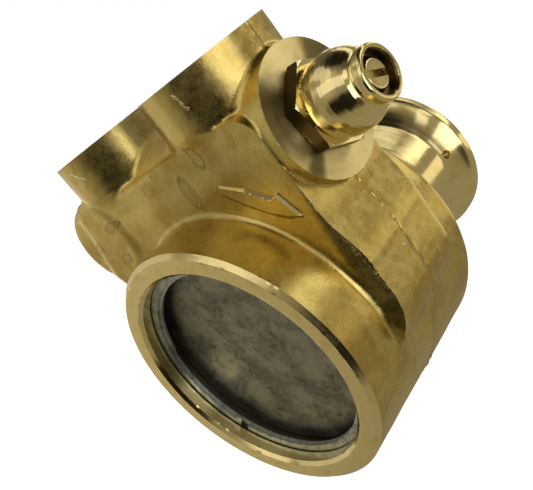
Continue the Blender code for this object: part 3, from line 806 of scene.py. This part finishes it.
def turned(name, axis, centre, base, stain, rough, mark=0.5, stretch=0.55, wedges=()):
    """Machined metal with fine tool marks round an axis; wedges are sectors of its faces darkened as
    painted reflection.
    """
    g = Graph(name)
    lay, way = g.about(axis, centre)
    lines = g.noise(0.16, 2.0, 0.6, place=lay)
    bands = g.noise(1.4, 2.0, 0.5, place=lay)
    blotch = g.noise(4.0, 4.0, 0.6)
    colour = g.mix(g.span(blotch, 0.45, 0.72, 0.0, 0.4), base, stain)
    colour = g.mix(g.span(lines, 0.25, 0.6, 0.16, 0.0), colour, stain)
    for wedge in wedges:
        # Painted reflection: dark sectors stand in for the radial streaks that a turned face reflects.
        colour = g.mix(sector_share(g, centre, *wedge), colour, (0.14, 0.10, 0.04))
    roughness = g.math("ADD", g.span(bands, 0.3, 0.7, rough - 0.03, rough + 0.04),
                       g.span(blotch, 0.4, 0.7, 0.0, 0.05))
    normal = g.bump(lines, 0.012 * mark, 0.6)
    normal = g.bump(g.noise(0.5, 3.0, 0.6), 0.006, 0.5, normal)
    g.shader.inputs["Anisotropic"].default_value = stretch
    g.shader.inputs["Anisotropic Rotation"].default_value = 0.25
    g.put(g.shader.inputs["Tangent"], way)
    return g.finish(colour, roughness, normal)


def cover_steel():
    """Dull grey steel with broad pale clouds, dirt between them and fine dark specks."""
    g = Graph("cover_steel")
    broad = g.noise(8.5, 5.0, 0.68, warp=0.3)
    patch = g.noise(1.1, 7.0, 0.80)
    speck = g.noise(0.35, 3.0, 0.7)
    colour = g.mix(g.span(broad, 0.40, 0.60, 0.0, 1.0), (0.23, 0.23, 0.195), (0.40, 0.385, 0.325))
    dirt = g.times(g.span(patch, 0.50, 0.66, 0.0, 1.0), g.span(broad, 0.58, 0.42, 0.15, 1.0))
    colour = g.mix(g.times(dirt, 0.75), colour, (0.065, 0.062, 0.048))
    colour = g.mix(g.span(speck, 0.62, 0.74, 0.0, 0.5), colour, (0.05, 0.05, 0.04))
    rough = g.span(patch, 0.35, 0.7, 0.36, 0.58)
    normal = g.bump(speck, 0.02, 0.5)
    return g.finish(colour, rough, normal)


def steel(name, base, dark, rough):
    """Ground or spring steel with faint patches."""
    g = Graph(name)
    patch = g.noise(1.6, 4.0, 0.6)
    lines = g.noise(0.3, 3.0, 0.6)
    colour = g.mix(g.span(patch, 0.4, 0.7, 0.0, 0.7), base, dark)
    colour = g.mix(g.span(lines, 0.3, 0.65, 0.25, 0.0), colour, dark)
    roughness = g.span(patch, 0.3, 0.7, rough - 0.05, rough + 0.08)
    return g.finish(colour, roughness, g.bump(lines, 0.01, 0.5))


def dull(name, base, pale, rough):
    """Rubber, carbon and ceramic: not metal, with a fine moulded or lapped grain."""
    g = Graph(name)
    patch = g.noise(1.8, 4.0, 0.6)
    grain = g.noise(0.25, 3.0, 0.6)
    colour = g.mix(g.span(patch, 0.4, 0.7, 0.0, 0.6), base, pale)
    roughness = g.span(grain, 0.3, 0.7, rough - 0.06, rough + 0.08)
    return g.finish(colour, roughness, g.bump(grain, 0.02, 0.4), metallic=0.0)


BRIGHT = (0.92, 0.78, 0.40)
WARM = (0.68, 0.50, 0.17)
SHAFT_AXIS = (0.0, 0.0, 0.0)
PORT_AXIS = (0.0, PARTING - BODY_LENGTH, 0.0)
GALLERY_AXIS = (0.0, PARTING - BODY_LENGTH, GALLERY_Z)
# Sectors of the spot face with painted dark reflection: direction, full within and gone beyond, in degrees.
SPOT_REFLECTION_WEDGES = ((156, 16, 36), (217, 2, 12), (44, 8, 22))
forged = forged_brass()
turned_y = turned("turned_brass_shaft_axis", "Y", SHAFT_AXIS, BRIGHT, WARM, 0.15, stretch=0.7)
faced_x = turned("faced_brass_relief_axis", "X", GALLERY_AXIS, BRIGHT, WARM, 0.30, 2.0, 0.93, SPOT_REFLECTION_WEDGES)
faced_z = turned("faced_brass_ports", "Z", PORT_AXIS, BRIGHT, WARM, 0.22)
polished = turned("polished_brass", "X", GALLERY_AXIS, (0.94, 0.81, 0.42), WARM, 0.12, stretch=0.4)
# Dark brass used as painted shade: inside the cap, on the hexagon's sides and on the arrow's lower sides.
painted_shade_brass = turned("painted_shade_brass", "X", GALLERY_AXIS, (0.17, 0.115, 0.045), (0.07, 0.045, 0.02), 0.30)
bore_shade = turned("bore_shade", "Y", SHAFT_AXIS, (0.10, 0.085, 0.06), (0.05, 0.045, 0.035), 0.45)
cage_brass = turned("cage_brass", "Y", SHAFT_AXIS, BRIGHT, WARM, 0.3)
FINISHES = {
    "forged_brass": forged,
    "polished_brass": polished,
    "cover_steel": cover_steel(),
    "ring_steel": steel("ring_steel", (0.62, 0.66, 0.68), (0.27, 0.285, 0.29), 0.42),
    "bright_steel": steel("bright_steel", (0.62, 0.62, 0.61), (0.40, 0.40, 0.39), 0.22),
    "carbon": dull("carbon", (0.035, 0.035, 0.038), (0.07, 0.07, 0.072), 0.5),
    "ceramic": dull("ceramic", (0.78, 0.76, 0.70), (0.70, 0.67, 0.60), 0.35),
    "rubber": dull("rubber", (0.018, 0.018, 0.019), (0.035, 0.034, 0.033), 0.62),
}


def dress(item, *materials):
    item.data.materials.clear()
    for material in materials:
        item.data.materials.append(material)


def face_values(item, attribute):
    """One vector for each face, as three columns."""
    values = np.zeros(len(item.data.polygons) * 3, np.float32)
    item.data.polygons.foreach_get(attribute, values)
    return values.reshape(-1, 3).T


def choose(item, index):
    """Give each face its material's index."""
    item.data.polygons.foreach_set("material_index", index.astype(np.int32))


def dress_body():
    """Machined faces of the casting get the turned finishes; the rest stays forged."""
    dress(body, forged, turned_y, faced_x, faced_z, bore_shade)
    shaft_turned, relief_faced, port_faced, dark_bore = 1, 2, 3, 4
    x, y, z = face_values(body, "center") / MM
    d = y + BODY_LENGTH
    rho = np.hypot(x, z)
    port = np.hypot(np.abs(x) - PORT_X, d - PARTING)
    in_bore = (rho < 28.2) & (z < 30)
    on_chamfer = (np.abs(rho - d - RIM_CHAMFER) < 0.12) & (d < 1.15)
    index = np.zeros(len(x), np.int32)
    index[(port < 9.9) & (z > 26)] = port_faced
    index[z > PORT_TOP - 0.03] = port_faced
    index[(about_gallery(d, z) < 8.2) & (np.abs(x) < GALLERY_END) & (port > 7.3)] = relief_faced
    index[x > GALLERY_END - 0.03] = relief_faced
    index[in_bore] = shaft_turned
    # The bore wall behind the ring gets the dark material as painted shade.
    index[in_bore & (d > 3.25) & (d < 42.0)] = dark_bore
    index[(d < 0.03) | on_chamfer] = shaft_turned
    index[d > 60.5] = shaft_turned
    choose(body, index)


def dress_cap():
    """The inside of the cap and the sides of its hexagon get the dark brass as painted shade."""
    dress(cap, polished, painted_shade_brass)
    x, y, z = face_values(cap, "center") / MM
    radial = about_gallery(y + BODY_LENGTH, z)
    hexagon = (np.abs(face_values(cap, "normal")[0]) < 0.2) & (radial > 8.0) & (x < 40.3)
    choose(cap, ((radial < 4.4) & (x < 52.9)) | hexagon)


def dress_arrow():
    """The arrow's lower sides get dark brass as painted shade, and its upper ones the brighter turned brass
    as a painted highlight.
    """
    dress(arrow, forged, painted_shade_brass, turned_y)
    nx, ny, nz = face_values(arrow, "normal")
    side = ny > -0.97
    # Faces pointing down take the painted shade and faces pointing up take the painted highlight.
    choose(arrow, np.where(side, np.where(nz + 0.3 * nx < 0, 1, 2), 0))


dress_body()
dress_cap()
dress_arrow()
dress(spring_low, FINISHES["bright_steel"])
dress(spring_high, FINISHES["bright_steel"])
dress(screw, polished)
dress(ring, FINISHES["ring_steel"])
dress(cover, FINISHES["cover_steel"])
dress(shaft, FINISHES["bright_steel"])
for part in frame["record"]["subparts"]:
    node = frame["nodes"][part["node"]]
    if not node.hide_render:
        dress(node, cage_brass if part["node"] == "bearing_cage" else FINISHES[part["material_slot"]])


# ---------------------------------------------------------------- studio

CENTRE = Vector((0.004, -0.045, 0.012))
LIGHT_DISTANCE = 0.9
NEAR_WHITE = (1.0, 0.97, 0.84)
CREAM = (1.0, 0.96, 0.80)
STRAW = (1.0, 0.92, 0.68)
ROOM_TINT = (1.0, 0.89, 0.63, 1.0)
# Brighter and darker parts of the room: azimuth, elevation, full within, gone beyond, and strength.
ROOM_LEVEL = 0.30
ROOM_LEAST = 0.012
GLOWS = ((-75, 45, 10, 50, 0.12), (-162, -14, 10, 24, 0.16))
SHADES = ((-92, -10, 8, 30, 0.30), (-64, -16, 12, 32, 0.34), (-38, -27, 8, 26, 0.24))
DIMS = ((35, 55, 15, 50, 0.2), (100, 60, 15, 45, 0.2), (-66, 18, 8, 26, 0.14), (20, 18, 5, 18, 0.12),
        (145, 20, 8, 26, 0.16))


def toward(azimuth, elevation):
    """Direction from an azimuth, from +X towards +Y, and an elevation, in degrees."""
    a, e = math.radians(azimuth), math.radians(elevation)
    return Vector((math.cos(a) * math.cos(e), math.sin(a) * math.cos(e), math.sin(e)))


def softbox(name, azimuth, elevation, width, height, radiance, tint=(1.0, 1.0, 1.0)):
    """Area light seen from the object at a given angle and with a given angular size, in degrees."""
    data = bpy.data.lights.new(name, "AREA")
    data.shape = "RECTANGLE"
    data.size = 2 * LIGHT_DISTANCE * math.tan(math.radians(width / 2))
    data.size_y = 2 * LIGHT_DISTANCE * math.tan(math.radians(height / 2))
    data.energy = radiance * math.pi * data.size * data.size_y
    data.color = tint
    item = bpy.data.objects.new(name, data)
    bpy.context.scene.collection.objects.link(item)
    way = toward(azimuth, elevation)
    item.location = CENTRE + way * LIGHT_DISTANCE
    item.rotation_euler = way.to_track_quat("Z", "Y").to_euler()
    item.visible_camera = False


softbox("box_over_front", -80, 44, 66, 26, 0.5)
softbox("box_upper_right", -18, 38, 26, 16, 0.75)
softbox("box_right", -16, -1, 42, 33, 1.6)
softbox("box_mid_right", 43, 18, 26, 28, 1.15, NEAR_WHITE)
softbox("box_back_high", 82, 38, 50, 12, 0.85, NEAR_WHITE)
softbox("box_back_right", 93, 13, 74, 14, 0.8, CREAM)
softbox("box_low_right", 82, -18, 100, 14, 0.7, STRAW)
softbox("box_left", -165, 22, 60, 50, 0.26)
softbox("box_left_low", 158, -10, 52, 22, 0.75)
softbox("box_top", -130, 72, 50, 26, 0.35)


def make_world():
    """Room seen in reflections, with soft bright and dark parts; the camera itself sees plain white."""
    world = bpy.data.worlds.new("studio")
    bpy.context.scene.world = world
    world.use_nodes = True
    tree = world.node_tree
    background = tree.nodes["Background"]
    place = tree.nodes.new("ShaderNodeTexCoord").outputs["Generated"]

    def lobe(azimuth, elevation, inner, outer, value):
        """Share that rises to value within inner degrees of a direction."""
        near = tree.nodes.new("ShaderNodeVectorMath")
        near.operation = "DOT_PRODUCT"
        tree.links.new(place, near.inputs[0])
        near.inputs[1].default_value = toward(azimuth, elevation)
        span = tree.nodes.new("ShaderNodeMapRange")
        span.interpolation_type = "SMOOTHSTEP"
        tree.links.new(near.outputs["Value"], span.inputs[0])
        ends = (math.cos(math.radians(outer)), math.cos(math.radians(inner)), 0.0, value)
        for socket, number in zip(span.inputs[1:], ends):
            socket.default_value = number
        return span.outputs[0]

    def join(operation, first, second):
        made = tree.nodes.new("ShaderNodeMath")
        made.operation = operation
        for socket, value in zip(made.inputs, (first, second)):
            if isinstance(value, float):
                socket.default_value = value
            else:
                tree.links.new(value, socket)
        return made.outputs[0]

    level = ROOM_LEVEL
    for glow in GLOWS:
        level = join("ADD", level, lobe(*glow))
    shade = lobe(*SHADES[0])
    for item in SHADES[1:]:
        shade = join("MAXIMUM", shade, lobe(*item))
    level = join("SUBTRACT", level, shade)
    for dim in DIMS:
        level = join("SUBTRACT", level, lobe(*dim))
    level = join("MAXIMUM", level, ROOM_LEAST)
    path = tree.nodes.new("ShaderNodeLightPath")
    pick = tree.nodes.new("ShaderNodeMix")
    pick.data_type = "FLOAT"
    tree.links.new(path.outputs["Is Camera Ray"], pick.inputs[0])
    tree.links.new(level, pick.inputs[2])
    pick.inputs[3].default_value = 1.0
    tree.links.new(pick.outputs[0], background.inputs["Strength"])
    tint = tree.nodes.new("ShaderNodeMix")
    tint.data_type = "RGBA"
    tree.links.new(path.outputs["Is Camera Ray"], tint.inputs[0])
    tint.inputs[6].default_value = ROOM_TINT
    tint.inputs[7].default_value = (1.0, 1.0, 1.0, 1.0)
    tree.links.new(tint.outputs[2], background.inputs["Color"])


def make_floor():
    """Plain pale floor just under the barrel."""
    size, rows = 3.0, 12
    ticks = np.linspace(-size, size, rows + 1)
    grid = np.stack(np.meshgrid(ticks, ticks, indexing="ij"), -1).reshape(-1, 2)
    verts = [(u, v, cad_low.z - 0.0002) for u, v in grid]
    wide = rows + 1
    faces = [(i * wide + j, (i + 1) * wide + j, (i + 1) * wide + j + 1, i * wide + j + 1)
             for i in range(rows) for j in range(rows)]
    mesh = bpy.data.meshes.new("floor")
    mesh.from_pydata(verts, [], faces)
    floor = bpy.data.objects.new("floor", mesh)
    bpy.context.scene.collection.objects.link(floor)
    g = Graph("pale_floor")
    colour = g.mix(g.noise(30.0, 3.0), (0.80, 0.80, 0.79), (0.83, 0.83, 0.82))
    g.shader.inputs["Emission Color"].default_value = (1.0, 1.0, 1.0, 1.0)
    g.shader.inputs["Emission Strength"].default_value = 0.95
    g.finish(colour, 0.9, metallic=0.0)
    dress(floor, g.material)
    floor.visible_glossy = False


make_world()
make_floor()
bpy.context.scene.view_settings.view_transform = "Standard"
bpy.context.view_layer.update()
